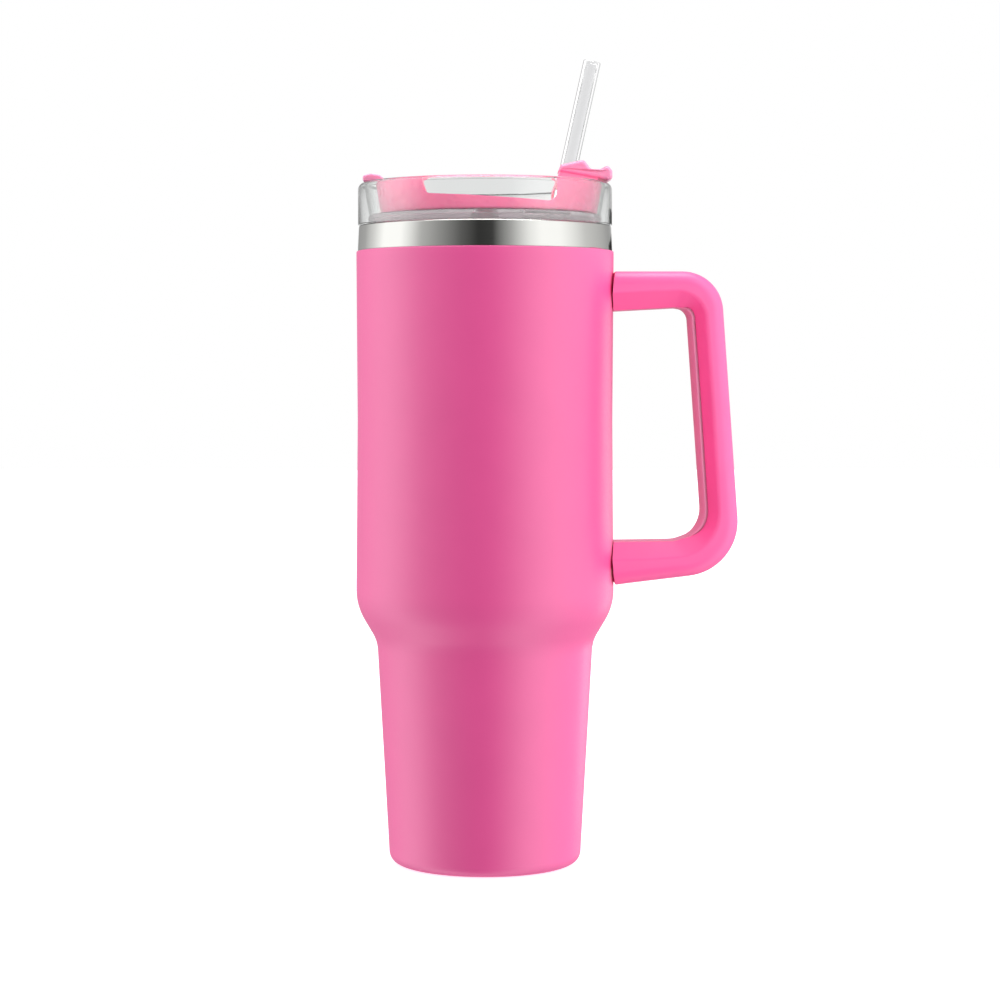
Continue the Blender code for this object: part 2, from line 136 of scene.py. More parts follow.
STRAW_COLLAR = [(26.9, 258.8, 0.3), (28.6, 266.0, 0.4), (43.6, 263.4, 0.4), (42.6, 258.8, 0.3)]
DRINK_TAB = [
    (-46.7, 260.9, 0.5), (-46.7, 263.0, 0.8), (-43.9, 263.8, 1.5), (-40.3, 263.3, 2.0),
    (-37.4, 261.0, 0.8), (-37.0, 258.8, 0.3), (-40.9, 258.8, 0.3), (-41.1, 260.9, 0.3),
]

# Straw, as in the CAD source, with a wall 0.3 mm thinner
STRAW_R = 3.35
STRAW_BORE_R = 2.95
STRAW_LENGTH = 304.0
STRAW_TOP = (41.2, 0.0, 307.3)
STRAW_LEAN = 12.53

# Bores through the cover and tabs: radius, and the reach below and above the point they pass
STRAW_BORE = (STRAW_R + GAP, -4.0, 30.0)
STRAW_BORE_LEVEL = 253.0
SEAT_BORE = (5.0, -8.0, 5.0)
SEAT_LEVEL = DISH_BOTTOM + 1.8
DRINK_BORE = (DRINK_R, -5.0, 22.0)

# Handle, close to the CAD source: the arms end nearer to the cup, and the strip is thicker
HANDLE_WIDTH = 26.0
HANDLE_BEVEL = 5.0
HANDLE_BEVEL_END = 6.7
HANDLE_CROWN = 1.5  # how far the strip stands out of the grip
HANDLE_LIP = 1.0
FLANGE = 0.9  # how far the strip's edge reaches over the lip
FLANGE_THICK = 0.6
SEAM = 0.55
PANEL_THICK = 3.1
PANEL_SEAT = 3.6
HANDLE_OUTER = [(49.4, 226.4, 0.0), (89.9, 226.4, 15.5), (97.8, 112.6, 21.0), (49.4, 106.75, 0.0)]
HANDLE_INNER = [(49.4, 211.3, 0.0), (77.2, 212.8, 5.0), (83.3, 123.75, 12.0), (49.4, 123.2, 0.0)]
ROOT_GAP = 0.8  # widest opening of the joint between an arm and the cup
ROOT_GAP_START = 4.9
ROOT_GAP_REACH = 10.0
ROOT_BEND = 0.8
HANDLE_PIECES = [
    ("handle_grip", "handle_shell", "handle_plastic"),
    ("grip_strip", "handle_inner_panel", "grip_plastic"),
]
# Brackets: name, CAD node, height of the tongue, and the foot plate's lower and upper edge
BRACKETS = [
    ("upper_arm_plate", "upper_handle_bracket", 219.4, 212.4, 225.7),
    ("lower_arm_plate", "lower_handle_bracket", 114.4, 107.9, 121.2),
]
TONGUE_END = 66.0
TONGUE_HALF_WIDTH = 5.5
TONGUE_HALF_THICK = 2.0
PLATE_HALF_ANGLE = 8.6  # degrees of the cup's wall on each side of the tongue
SCREW_X = 60.0
SCREW_R = 1.6

# Camera
CAMERA_DISTANCE = 1.0
CAMERA_HEIGHT = 0.188
CAMERA_LENS = 93.6  # mm, on a 36 mm sensor
CAMERA_SHIFT = (0.015, -0.128)

# Studio surroundings: brightness by direction, in degrees around the object. 0 is the camera's
# side, 90 is the handle's side and 180 is the white backdrop.
STUDIO_GAIN = 2.0
STUDIO_DIP = -0.6  # how far down the surroundings have dimmed fully, as the sine of an angle
STUDIO_BELOW = 0.85  # share of the brightness that is left well below the horizon
FLOOR_REACH = 4000.0
FLOOR_GAP = 0.0002  # metres between the floor and the foot
THROUGH_GLOW = 0.42  # least brightness of the camera's side for light that comes through plastic
FLAG = (148, 167)  # the black card's two edges, in degrees around the object
FLAG_DISTANCE = 1100.0
FLAG_BOTTOM = 150.0
FLAG_TOP = 314.0  # just above what the steel neck reflects to the camera
STUDIO = [
    (-180, 0.40), (-172, 0.40), (-166, 0.19), (-139, 0.32), (-119, 0.63), (-104, 0.97),
    (-82, 0.97), (-71, 0.72), (-60, 0.42), (-42, 0.26), (-22, 0.10), (-6, 0.03), (7, 0.04),
    (12, 0.14), (23, 0.34), (40, 0.77), (52, 0.95), (72, 0.94), (87, 0.76), (103, 0.54),
    (132, 0.38), (147, 0.27), (157, 0.24), (166, 0.30), (172, 0.40), (180, 0.40),
]

# Lamps: name, place, point aimed at and size in metres, watts, and whether reflections and clear
# plastic show it
MIDDLE = (0.0, 0.0, 0.14)
LID = (0.0, 0.0, 0.26)
MOUTH = (0.0, 0.0, 0.24)
LAMPS = [
    ("top_light", (0.0, 0.1, 1.0), MIDDLE, (0.6, 0.5), 4.0, True),
    ("front_fill", (0.0, -0.38, 0.55), (0.0, 0.0, 0.22), (0.35, 0.2), 0.38, False),
    ("right_fill", (0.9, 0.42, 0.3), MIDDLE, (0.5, 0.8), 2.5, False),
    ("edge_fill", (0.75, 0.85, 0.02), MIDDLE, (0.4, 0.5), 0.75, True),
    ("handle_fill", (0.1, -0.8, 0.12), (0.08, 0.0, 0.17), (0.4, 0.4), 2.6, False),
    ("cover_fill", (0.08, -0.8, 0.35), LID, (0.6, 0.3), 3.8, False),
    ("tab_fill", (0.0, -0.8, 0.45), LID, (0.3, 0.3), 1.3, False),
    ("base_fill", (0.0, -0.8, 0.12), MOUTH, (0.7, 0.3), 4.0, False),
    ("mouth_fill", (0.0, 0.0, 0.7), MOUTH, (0.3, 0.3), 2.0, True),
]

# Colours, and the refraction of the smooth skin on the lid's plastic
COAT = (0.92, 0.096, 0.352)
# paler and greyer than the handle: painted sheen, the white surroundings the grip's inner strip
# reflects at a grazing angle
GRIP_SHEEN = (0.78, 0.27, 0.44)
COVER = (0.98, 0.18, 0.375)
# a paler, lit copy of the cover's pink: painted light on the tabs, which are the same plastic as the
# dish
LIT_TAB = (0.91, 0.33, 0.53)
HANDLE = (0.96, 0.108, 0.355)
STEEL = (0.50, 0.50, 0.48)
SKIN_IOR = 1.45


def add_object(name, bm, look, place=None, sharp=30):
    """Turn a bmesh in millimetres into a named object in metres, faces pointing out."""
    bmesh.ops.transform(bm, matrix=Matrix.Scale(MM, 4), verts=bm.verts)
    bmesh.ops.recalc_face_normals(bm, faces=bm.faces)
    mesh = bpy.data.meshes.new(name)
    bm.to_mesh(mesh)
    bm.free()
    if look:
        mesh.materials.append(look)
    mesh.shade_smooth()
    mesh.set_sharp_from_angle(angle=math.radians(sharp))
    made = bpy.data.objects.new(name, mesh)
    bpy.context.scene.collection.objects.link(made)
    if place:
        made.matrix_world = place
    return made


def rounded(corners, steps=FILLET_STEPS):
    """Points along the open line through corners of (a, b, fillet radius)."""
    points = [Vector(corners[0][:2])]
    for before, corner, after in zip(corners, corners[1:], corners[2:]):
        here = Vector(corner[:2])
        if corner[2] <= 0:
            points.append(here)
            continue
        back = (Vector(before[:2]) - here).normalized()
        ahead = (Vector(after[:2]) - here).normalized()
        half = back.angle(ahead) / 2
        centre = here + (back + ahead).normalized() * (corner[2] / math.sin(half))
        start = here + back * (corner[2] / math.tan(half)) - centre
        end = here + ahead * (corner[2] / math.tan(half)) - centre
        for step in range(steps + 1):
            arm = start.slerp(end, step / steps)
            points.append(centre + arm.normalized() * corner[2])
    points.append(Vector(corners[-1][:2]))
    return points


def rounded_loop(corners, steps=FILLET_STEPS):
    """The same for a closed outline."""
    wrapped = [corners[-1], *corners, corners[0]]
    return rounded(wrapped, steps)[1:-1]


def lathe(name, outline, look, steps=ROUND_STEPS, place=None, sharp=30):
    """Turn a closed outline of (radius, height) points around Z."""
    bm = bmesh.new()
    rings = []
    for radius, height in outline:
        if radius < 1e-6:
            rings.append([bm.verts.new((0, 0, height))])
            continue
        ring = []
        for step in range(steps):
            turn = math.tau * step / steps
            ring.append(bm.verts.new((radius * math.cos(turn), radius * math.sin(turn), height)))
        rings.append(ring)
    for first, second in zip(rings, rings[1:] + rings[:1]):
        if len(first) == 1 and len(second) == 1:
            continue
        for step in range(steps):
            following = (step + 1) % steps
            corners = [first[step % len(first)], first[following % len(first)]]
            corners += [second[following % len(second)], second[step % len(second)]]
            bm.faces.new(list(dict.fromkeys(corners)))
    return add_object(name, bm, look, place, sharp)


def stack(name, sections, look, sharp=30):
    """A solid through cross-sections that have the same number of points, capped at both ends."""
    bm = bmesh.new()
    loops = [[bm.verts.new(point) for point in section] for section in sections]
    for first, second in zip(loops, loops[1:]):
        for index in range(len(first)):
            after = (index + 1) % len(first)
            bm.faces.new([first[index], first[after], second[after], second[index]])
    bm.faces.new(loops[0])
    bm.faces.new(loops[-1])
    return add_object(name, bm, look, sharp=sharp)


def prism(name, outline, low, high, look):
    """An outline of (x, z) points extruded along Y."""
    return stack(name, [[(x, y, z) for x, z in outline] for y in (low, high)], look)


def tube_outline(inner, outer, low, high):
    """The outline of a plain tube, for lathe."""
    return [(inner, low), (outer, low), (outer, high), (inner, high)]


def disc_outline(radius, low, high):
    """The outline of a plain disc, for lathe."""
    return [(0, low), (radius, low), (radius, high), (0, high)]


def apply_modifiers(piece, sharp=30):
    """Bake the modifiers into the mesh and shade it smooth again."""
    depsgraph = bpy.context.evaluated_depsgraph_get()
    mesh = bpy.data.meshes.new_from_object(piece.evaluated_get(depsgraph))
    piece.modifiers.clear()
    piece.data = mesh
    mesh.shade_smooth()
    mesh.set_sharp_from_angle(angle=math.radians(sharp))


def combine(target, tool, operation):
    """Join or cut the target with a tool, which is then removed."""
    step = target.modifiers.new(tool.name, "BOOLEAN")
    step.operation = operation
    step.object = tool
    apply_modifiers(target)
    bpy.data.objects.remove(tool, do_unlink=True)


def soften(piece, width, segments=3, angle=35):
    """Round the piece's edges by a width in millimetres."""
    step = piece.modifiers.new("soft_edges", "BEVEL")
    step.width = width * MM
    step.segments = segments
    step.limit_method = "ANGLE"
    step.angle_limit = math.radians(angle)
    step.harden_normals = False
    step.use_clamp_overlap = True
    apply_modifiers(piece, 40)


def upright(x, y, z):
    """A placement at a point in millimetres, with Z up."""
    return Matrix.Translation(Vector((x, y, z)) * MM)


def turned(place):
    """A placement turned a little, so that a bore's corners miss the facet edges it crosses."""
    return place @ Matrix.Rotation(math.radians(BORE_TURN), 4, "Z")


def straw_point(height):
    """The point of the straw's axis at a height."""
    drop = STRAW_TOP[2] - height
    return (STRAW_TOP[0] - drop * math.tan(math.radians(STRAW_LEAN)), 0.0, height)


def along_straw(height):
    """A placement whose Z runs up the straw from a height."""
    return upright(*straw_point(height)) @ Matrix.Rotation(math.radians(STRAW_LEAN), 4, "Y")


# ---------------------------------------------------------------- materials


class Look:
    """A Principled material with short helpers for its node tree."""

    def __init__(self, name, colour, roughness, metallic=0.0, **more):
        self.material = bpy.data.materials.new(name)
        self.material.use_nodes = True
        self.tree = self.material.node_tree
        self.shader = self.tree.nodes["Principled BSDF"]
        self.set("Base Color", (*colour, 1.0))
        self.set("Roughness", roughness)
        self.set("Metallic", metallic)
        for key, value in more.items():
            self.set(key.replace("_", " "), value)
        self.coordinates = self.node("ShaderNodeTexCoord").outputs["Object"]

    def set(self, socket, value):
        """Give one of the shader's sockets a constant value."""
        self.shader.inputs[socket].default_value = value

    def node(self, kind, **settings):
        """Add a node with some of its settings changed."""
        made = self.tree.nodes.new(kind)
        for key, value in settings.items():
            setattr(made, key, value)
        return made

    def link(self, source, target):
        """Join an output to an input."""
        self.tree.links.new(source, target)

    def noise(self, scale, detail=3.0, stretch=(1, 1, 1), roughness=0.5):
        """Noise of a given number of cells per metre, stretched along the axes."""
        mapping = self.node("ShaderNodeMapping")
        mapping.inputs["Scale"].default_value = stretch
        self.link(self.coordinates, mapping.inputs["Vector"])
        noise = self.node("ShaderNodeTexNoise")
        noise.inputs["Scale"].default_value = scale
        noise.inputs["Detail"].default_value = detail
        noise.inputs["Roughness"].default_value = roughness
        self.link(mapping.outputs["Vector"], noise.inputs["Vector"])
        return noise.outputs["Fac"]

    def ranged(self, source, low, high, start=0.3, end=0.7):
        """Spread a noise's middle range over the values from low to high."""
        spread = self.node("ShaderNodeMapRange")
        spread.inputs["From Min"].default_value = start
        spread.inputs["From Max"].default_value = end
        spread.inputs["To Min"].default_value = low
        spread.inputs["To Max"].default_value = high
        self.link(source, spread.inputs["Value"])
        return spread.outputs["Result"]

    def vary_roughness(self, source, low, high):
        """Let a noise move the roughness between two values."""
        self.link(self.ranged(source, low, high), self.shader.inputs["Roughness"])

    def vary_colour(self, source, first, second):
        """Blend two close colours by a noise."""
        ramp = self.node("ShaderNodeValToRGB")
        ramp.color_ramp.elements[0].position = 0.3
        ramp.color_ramp.elements[1].position = 0.7
        ramp.color_ramp.elements[0].color = (*first, 1.0)
        ramp.color_ramp.elements[1].color = (*second, 1.0)
        self.link(source, ramp.inputs["Fac"])
        self.link(ramp.outputs["Color"], self.shader.inputs["Base Color"])

    def bump(self, source, depth, strength=1.0):
        """Surface relief with a depth in millimetres, on top of any relief set before."""
        relief = self.node("ShaderNodeBump")
        relief.inputs["Distance"].default_value = depth * MM
        relief.inputs["Strength"].default_value = strength
        self.link(source, relief.inputs["Height"])
        socket = self.shader.inputs["Normal"]
        if socket.links:
            self.link(socket.links[0].from_socket, relief.inputs["Normal"])
        self.link(relief.outputs["Normal"], socket)


def tint(colour, factor):
    """A colour made darker or lighter by a factor."""
    return tuple(channel * factor for channel in colour)


def powder_coat():
    """Satin powder coat: a fine orange-peel relief and a barely mottled colour."""
    look = Look("powder_coat", COAT, 0.38, Specular_IOR_Level=1.0)
    look.vary_colour(look.noise(60, 4), tint(COAT, 0.985), tint(COAT, 1.015))
    look.vary_roughness(look.noise(900, 2), 0.35, 0.41)
    look.bump(look.noise(1400, 2), 0.012)
    return look.material


def pink_plastic():
    """Moulded handle plastic with a spark-eroded satin grain and faint rubbed patches."""
    look = Look("handle_plastic", HANDLE, 0.4, Specular_IOR_Level=0.8)
    look.vary_colour(look.noise(45, 3), tint(HANDLE, 0.97), tint(HANDLE, 1.02))
    look.vary_roughness(look.noise(70, 3), 0.36, 0.44)
    look.bump(look.noise(2600, 2), 0.008)
    return look.material


def grip_plastic():
    """The strip inside the grip: the same plastic, duller, with a coarser grain; its paler, greyer
    pink is painted sheen.
    """
    look = Look("grip_plastic", GRIP_SHEEN, 0.55)
    look.vary_colour(look.noise(80, 3), tint(GRIP_SHEEN, 0.96), tint(GRIP_SHEEN, 1.04))
    look.vary_roughness(look.noise(500, 3), 0.5, 0.62)
    look.bump(look.noise(1800, 3), 0.02)
    return look.material


def cover_plastic(name="cover_plastic", colour=COVER):
    """Glossier lid plastic, slightly translucent, with faint flow marks."""
    look = Look(name, colour, 0.28, Specular_IOR_Level=0.5)
    look.set("Subsurface Weight", 0.25)
    look.set("Subsurface Radius", (1.0, 0.35, 0.45))
    look.set("Subsurface Scale", 0.002)
    look.vary_colour(look.noise(50, 3), tint(colour, 0.98), colour)
    look.vary_roughness(look.noise(120, 3), 0.24, 0.32)
    look.bump(look.noise(90, 1, (1, 1, 3)), 0.008)
    return look.material


def polished_steel():
    """The bare neck: bright, with hairline marks that run around it."""
    look = Look("polished_steel", STEEL, 0.1, 1.0)
    lines = look.noise(60, 6, (0.15, 0.15, 60))
    look.vary_roughness(lines, 0.07, 0.13)
    look.bump(lines, 0.002)
    return look.material


def satin_steel():
    """Inside of the cup: electropolished, with soft turned lines."""
    look = Look("satin_steel", (0.60, 0.60, 0.59), 0.28, 1.0)
    lines = look.noise(50, 6, (0.2, 0.2, 40))
    look.vary_roughness(lines, 0.22, 0.36)
    look.vary_colour(look.noise(25, 4), (0.57, 0.57, 0.56), (0.63, 0.63, 0.62))
    look.bump(lines, 0.004)
    return look.material


def brushed_steel(name="brushed_steel"):
    """Pressed sheet with a straight grain, for the base, brackets and plate."""
    look = Look(name, (0.56, 0.56, 0.55), 0.32, 1.0)
    grain = look.noise(90, 6, (1, 40, 1))
    look.vary_roughness(grain, 0.26, 0.42)
    look.vary_colour(look.noise(40, 4), (0.52, 0.52, 0.51), (0.60, 0.60, 0.59))
    look.bump(grain, 0.006)
    return look.material


def screw_steel():
    """Steel with fine tool marks."""
    look = Look("screw_steel", (0.50, 0.50, 0.49), 0.3, 1.0)
    marks = look.noise(700, 4)
    look.vary_roughness(marks, 0.22, 0.40)
    look.bump(marks, 0.006)
    return look.material


def wrap_foil():
    """Crumpled bright foil."""
    look = Look("wrap_foil", (0.78, 0.78, 0.79), 0.22, 1.0)
    creases = look.noise(140, 5, (1, 1, 1), 0.65)
    look.vary_roughness(creases, 0.14, 0.34)
    look.bump(creases, 0.25)
    return look.material


def solder_glass():
    """Dark fused glass."""
    look = Look("solder_glass", (0.16, 0.14, 0.12), 0.15, Coat_Weight=0.4)
    look.vary_colour(look.noise(900, 4), (0.12, 0.10, 0.09), (0.22, 0.20, 0.17))
    look.bump(look.noise(500, 3), 0.05)
    return look.material


def clear_plastic():
    """Clear lid plastic with faint flow waves and a trace of fine wear."""
    look = Look("clear_plastic", (0.98, 0.99, 0.985), 0.02, IOR=1.2)
    look.set("Transmission Weight", 1.0)
    look.set("Coat Weight", 0.6)
    look.set("Coat IOR", SKIN_IOR)
    look.vary_roughness(look.noise(200, 4), 0.01, 0.05)
    look.bump(look.noise(45, 3, (1, 1, 2)), 0.05)
    return look.material


def clouded_plastic():
    """The lid's floor and skirt: milky, with a painted pink tint that stands in for light from the
    pink cover above it.
    """
    # the pink in these colours is painted light from the cover, not a tint of the plastic itself
    look = Look("clouded_plastic", (0.93, 0.82, 0.86), 0.12, IOR=1.3)
    look.set("Transmission Weight", 0.84)
    look.set("Coat Weight", 0.5)
    look.set("Coat IOR", SKIN_IOR)
    haze = look.noise(160, 4)
    look.vary_roughness(haze, 0.08, 0.2)
    look.vary_colour(haze, (0.90, 0.79, 0.83), (0.95, 0.85, 0.89))
    look.bump(look.noise(45, 3, (1, 1, 2)), 0.05)
    return look.material


def straw_plastic():
    """Clear straw, slightly hazy, with fine draw lines along it."""
    look = Look("straw_plastic", (0.97, 0.97, 0.975), 0.12, IOR=1.3)
    look.set("Transmission Weight", 1.0)
    lines = look.noise(400, 4, (1, 1, 0.03))
    look.vary_roughness(lines, 0.06, 0.2)
    look.bump(lines, 0.01)
    return look.material


def silicone():
    """Cloudy silicone, a little dusty."""
    look = Look("clear_silicone", (0.86, 0.87, 0.88), 0.45, IOR=1.41)
    look.set("Transmission Weight", 0.45)
    look.set("Subsurface Weight", 0.3)
    look.set("Subsurface Scale", 0.002)
    dust = look.noise(800, 4)
    look.vary_roughness(dust, 0.38, 0.55)
    look.bump(dust, 0.01)
    return look.material


# ---------------------------------------------------------------- cup


def lower_radius(height, inset):
    """The tapered lower body's radius, moved in by an inset."""
    slope = (WAIST_LOW[0] - FOOT_R) / WAIST_LOW[1]
    return FOOT_R + height * slope - inset


def wall_line(inset, bottom, fillet, end_r):
    """The body's side, moved in by an inset, from the upper body down to a flat bottom."""
    turn = math.atan2(WAIST_HIGH[0] - WAIST_LOW[0], WAIST_HIGH[1] - WAIST_LOW[1])
    rise = inset * math.tan(turn / 2)
    corners = [(BODY_R - inset, BODY_TOP, 0)]
    corners.append((BODY_R - inset, WAIST_HIGH[1] + rise, WAIST_HIGH_FILLET - inset))
    corners.append((WAIST_LOW[0] - inset, WAIST_LOW[1] + rise, WAIST_LOW_FILLET + inset))
    corners.append((lower_radius(bottom, inset), bottom, fillet))
    corners.append((end_r, bottom, 0))
    return rounded(corners)


def make_cup_coat(look):
    """The powder-coated outer shell, with its top edge rolled in."""
    outer = wall_line(0, 0, FOOT_FILLET, FOOT_INNER_R)[1:]
    inner = wall_line(SHELL_WALL, SHELL_WALL, FOOT_FILLET - SHELL_WALL, FOOT_INNER_R)[1:]
    edge = [(BODY_R, BODY_TOP - 3, 0), (BODY_R, BODY_TOP, COAT_ROLL)]
    edge.append((BODY_R - SHELL_WALL, BODY_TOP, 0))
    shell = lathe("cup_coat", rounded(edge, 5) + outer + inner[::-1], look)
    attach(shell, "cup")
    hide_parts("outer_shell")
    return shell


def make_liner(neck_look, inside_look):
    """Bare neck band with the rolled lip, and the liner behind it."""
    inner_inset = LINER_INSET + LINER_WALL
    tuck = 1.5  # the band reaches down behind the coat's edge
    band = [(NECK_BOTTOM_R - 0.5, NECK_BOTTOM - tuck, 0), (NECK_BOTTOM_R, NECK_BOTTOM + 0.1, 0.3)]
    band += [(NECK_TOP_R, LIP_TOP, 0.9), (MOUTH_R, LIP_TOP, 0.9), (MOUTH_R, LIP_TOP - 2, 0)]
    hidden = [(MOUTH_R + LINER_WALL, LIP_TOP - 2), (MOUTH_R + LINER_WALL, LIP_TOP - 5)]
    hidden += [(NECK_TOP_R - 1.0, LIP_TOP - 5), (NECK_BOTTOM_R - 1.1, NECK_BOTTOM - tuck)]
    neck = lathe("steel_neck", rounded(band, 6) + hidden, neck_look)
    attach(neck, "cup")
    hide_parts("inner_liner")

    inside = [(MOUTH_R, LIP_TOP - 2, 0), (MOUTH_R, MOUTH_SHOULDER, 1.0)]
    inside += [(BODY_R - inner_inset, MOUTH_SHOULDER - 1.5, 1.0), (BODY_R - inner_inset, 200, 0)]
    face = rounded(inside, 5) + wall_line(inner_inset, LINER_FLOOR, LINER_FLOOR_FILLET, 0)[1:]
    underside = LINER_FLOOR - LINER_WALL
    back = wall_line(LINER_INSET, underside, LINER_FLOOR_FILLET + LINER_WALL, 0)[:0:-1]
    fold = [(BODY_R - LINER_INSET, MOUTH_SHOULDER - 2.0)]
    fold += [(MOUTH_R + LINER_WALL, MOUTH_SHOULDER - 0.2), (MOUTH_R + LINER_WALL, LIP_TOP - 2)]
    liner = lathe("steel_liner", face + back + fold, inside_look)
    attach(liner, "cup")
    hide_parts("inner_liner")
    return liner


def make_base_disc(look):
    """Pressed base disc with a shallow ring and a softened centre step."""
    low, top, rim = 0.8, 2.1, FOOT_INNER_R - GAP
    step, ring_in, ring_out = 0.35, 17.0, 21.0
    outline = [(0, low + step, 0), (9.0, low + step, 0.8), (10.2, low, 0.8), (ring_in, low, 0.6)]
    outline += [(ring_in + 0.8, low + step, 0.6), (ring_out - 0.8, low + step, 0.6)]
    outline += [(ring_out, low, 0.6), (rim - 0.5, low, 0), (rim, low + 0.4, 0)]
    outline += [(rim + 0.2, low + 0.5, 0), (rim + 3, low + 0.5, 0), (rim + 3, top, 0), (0, top, 0)]
    disc = lathe("base_disc", rounded(outline, TINY_STEPS), look, 128)
    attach(disc, "cup")
    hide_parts("base_cover")


# ---------------------------------------------------------------- handle


def handle_section(inner, outer, corners):
    """Place a flat outline of (across, out from the inner face) between two points of (x, z)."""
    reach = (outer - inner).normalized()
    placed = []
    for across, out in corners:
        point = inner + reach * out
        placed.append((point[0], across, point[1]))
    return placed


def shell_outline(thick, crown):
    """The grip's section: bevelled towards the cup, open for the strip, round outside."""
    half = HANDLE_WIDTH / 2
    face = half - HANDLE_BEVEL
    slot = face - HANDLE_LIP
    lip = crown * (HANDLE_CROWN + FLANGE_THICK + SEAM) + 0.05
    right = [(face, lip + 0.2, 0.4), (slot, lip, 0.15), (slot, PANEL_SEAT, 0)]
    left = [(-across, out, fillet) for across, out, fillet in reversed(right)]
    sides = [(-half, HANDLE_BEVEL_END, 2.4), (-half, thick, 5.5), (half, thick, 5.5)]
    return rounded_loop([*right, *left, *sides, (half, HANDLE_BEVEL_END, 2.4)], 8)


def panel_outline(crown):
    """The strip's section: crowned towards the hand, its edges over the grip's lips."""
    plug = HANDLE_WIDTH / 2 - HANDLE_BEVEL - HANDLE_LIP - GAP
    half = plug + FLANGE * crown ** 2
    dip = HANDLE_CROWN * crown
    steps = 12
    top = []
    for step in range(steps + 1):
        share = 1 - 2 * step / steps
        top.append(((half - 0.12) * share, dip * abs(share) ** 2.2))
    underside = dip + FLANGE_THICK
    edge = [(half, dip + 0.12), (half, underside), (plug - 0.2, underside + 0.05)]
    edge.append((plug - 0.2, PANEL_THICK))
    return [*reversed(edge), *top, *((-across, out) for across, out in edge)]


def handle_stations():
    """Matching points along the inner and outer lines, with the crown's share at each.

    The crown is 0 along the level arms and 1 on the upright grip.
    """
    inner = rounded(HANDLE_INNER, 16)
    outer = rounded(HANDLE_OUTER, 16)
    stations = []
    for index in range(len(inner) - 1):
        near, far = (inner[index], outer[index]), (inner[index + 1], outer[index + 1])
        run = far[0] - near[0]
        parts = max(1, round((far[1] - near[1]).length / 6))
        steep = min(1.0, max(0.0, (abs(run.normalized().y) - 0.3) / 0.68))
        crown = steep * steep * (3 - 2 * steep)
        for part in range(parts):
            share = part / parts
            stations.append((near[0].lerp(far[0], share), near[1].lerp(far[1], share), crown))
    stations.append((inner[-1], outer[-1], 0.0))
    return stations


def hug_cup(section, middle):
    """Bend an arm's end round the cup, with a joint that opens towards the handle's outside."""
    bent = []
    for _, across, height in section:
        opening = min(1.0, max(0.0, abs(height - middle) / ROOT_GAP_REACH - ROOT_GAP_START))
        reach = BODY_R + 0.03 + ROOT_GAP * opening
        bent.append((math.sqrt(reach ** 2 - (ROOT_BEND * across) ** 2), across, height))
    return bent


def make_handle(shell_look, panel_look):
    """Returns the grip's shell and the strip that closes it."""
    stations = handle_stations()
    middle = (HANDLE_OUTER[0][1] + HANDLE_OUTER[-1][1]) / 2
    pieces = []
    for name, node, slot in HANDLE_PIECES:
        sections = []
        for inner, outer, crown in stations:
            if slot == "handle_plastic":
                outline = shell_outline((outer - inner).length, crown)
            else:
                outline = panel_outline(crown)
            sections.append(handle_section(inner, outer, outline))
        sections[0] = hug_cup(sections[0], middle)
        sections[-1] = hug_cup(sections[-1], middle)
        piece = stack(name, sections, shell_look if slot == "handle_plastic" else panel_look)
        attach(piece, "cup")
        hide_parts(node)
        pieces.append(piece)
    return pieces


def make_bracket(name, node, level, low, high, look):
    """A coated foot plate that follows the cup and fills the joint at the arm, with its tongue."""
    bend, steps = math.radians(PLATE_HALF_ANGLE), 12
    arc = [bend * (2 * step / steps - 1) for step in range(steps + 1)]
    near, far = BODY_R + 0.03, BODY_R + 1.0
    points = [(near * math.cos(turn), near * math.sin(turn)) for turn in arc]
    points += [(far * math.cos(turn), far * math.sin(turn)) for turn in reversed(arc)]
    bracket = stack(name, [[(x, y, z) for x, y in points] for z in (low, high)], look)
    tongue_low, tongue_high = level - TONGUE_HALF_THICK, level + TONGUE_HALF_THICK
    root = BODY_R + 0.6
    outline = [(root, tongue_low), (TONGUE_END, tongue_low)]
    outline += [(TONGUE_END, tongue_high), (root, tongue_high)]
    tongue = prism(f"{name}_tongue", outline, -TONGUE_HALF_WIDTH, TONGUE_HALF_WIDTH, look)
    combine(bracket, tongue, "UNION")
    place = turned(upright(SCREW_X, 0, 0))
    hole = lathe(f"{name}_hole", disc_outline(SCREW_R + GAP, level - 5, level + 5), look, 32, place)
    combine(bracket, hole, "DIFFERENCE")
    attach(bracket, "cup")
    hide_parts(node)


# ---------------------------------------------------------------- lid


def slot_cutter(name, low, high):
    """An arc-shaped opening with round ends, centred on the straw's side."""
    points = []
    bend = math.radians(SLOT_HALF_ANGLE)
    steps, end_steps = 48, 16
    for side in (1, -1):
        radius = SLOT_MID_R + side * SLOT_HALF_WIDTH
        for step in range(steps + 1):
            turn = side * bend * (2 * step / steps - 1)
            points.append((radius * math.cos(turn), radius * math.sin(turn)))
        centre = (SLOT_MID_R * math.cos(bend), side * SLOT_MID_R * math.sin(bend))
        first = bend if side > 0 else math.pi - bend
        for step in range(1, end_steps):
            turn = first + math.pi * step / end_steps
            x = centre[0] + SLOT_HALF_WIDTH * math.cos(turn)
            points.append((x, centre[1] + SLOT_HALF_WIDTH * math.sin(turn)))
    return stack(name, [[(x, y, z) for x, y in points] for z in (low, high)], None)


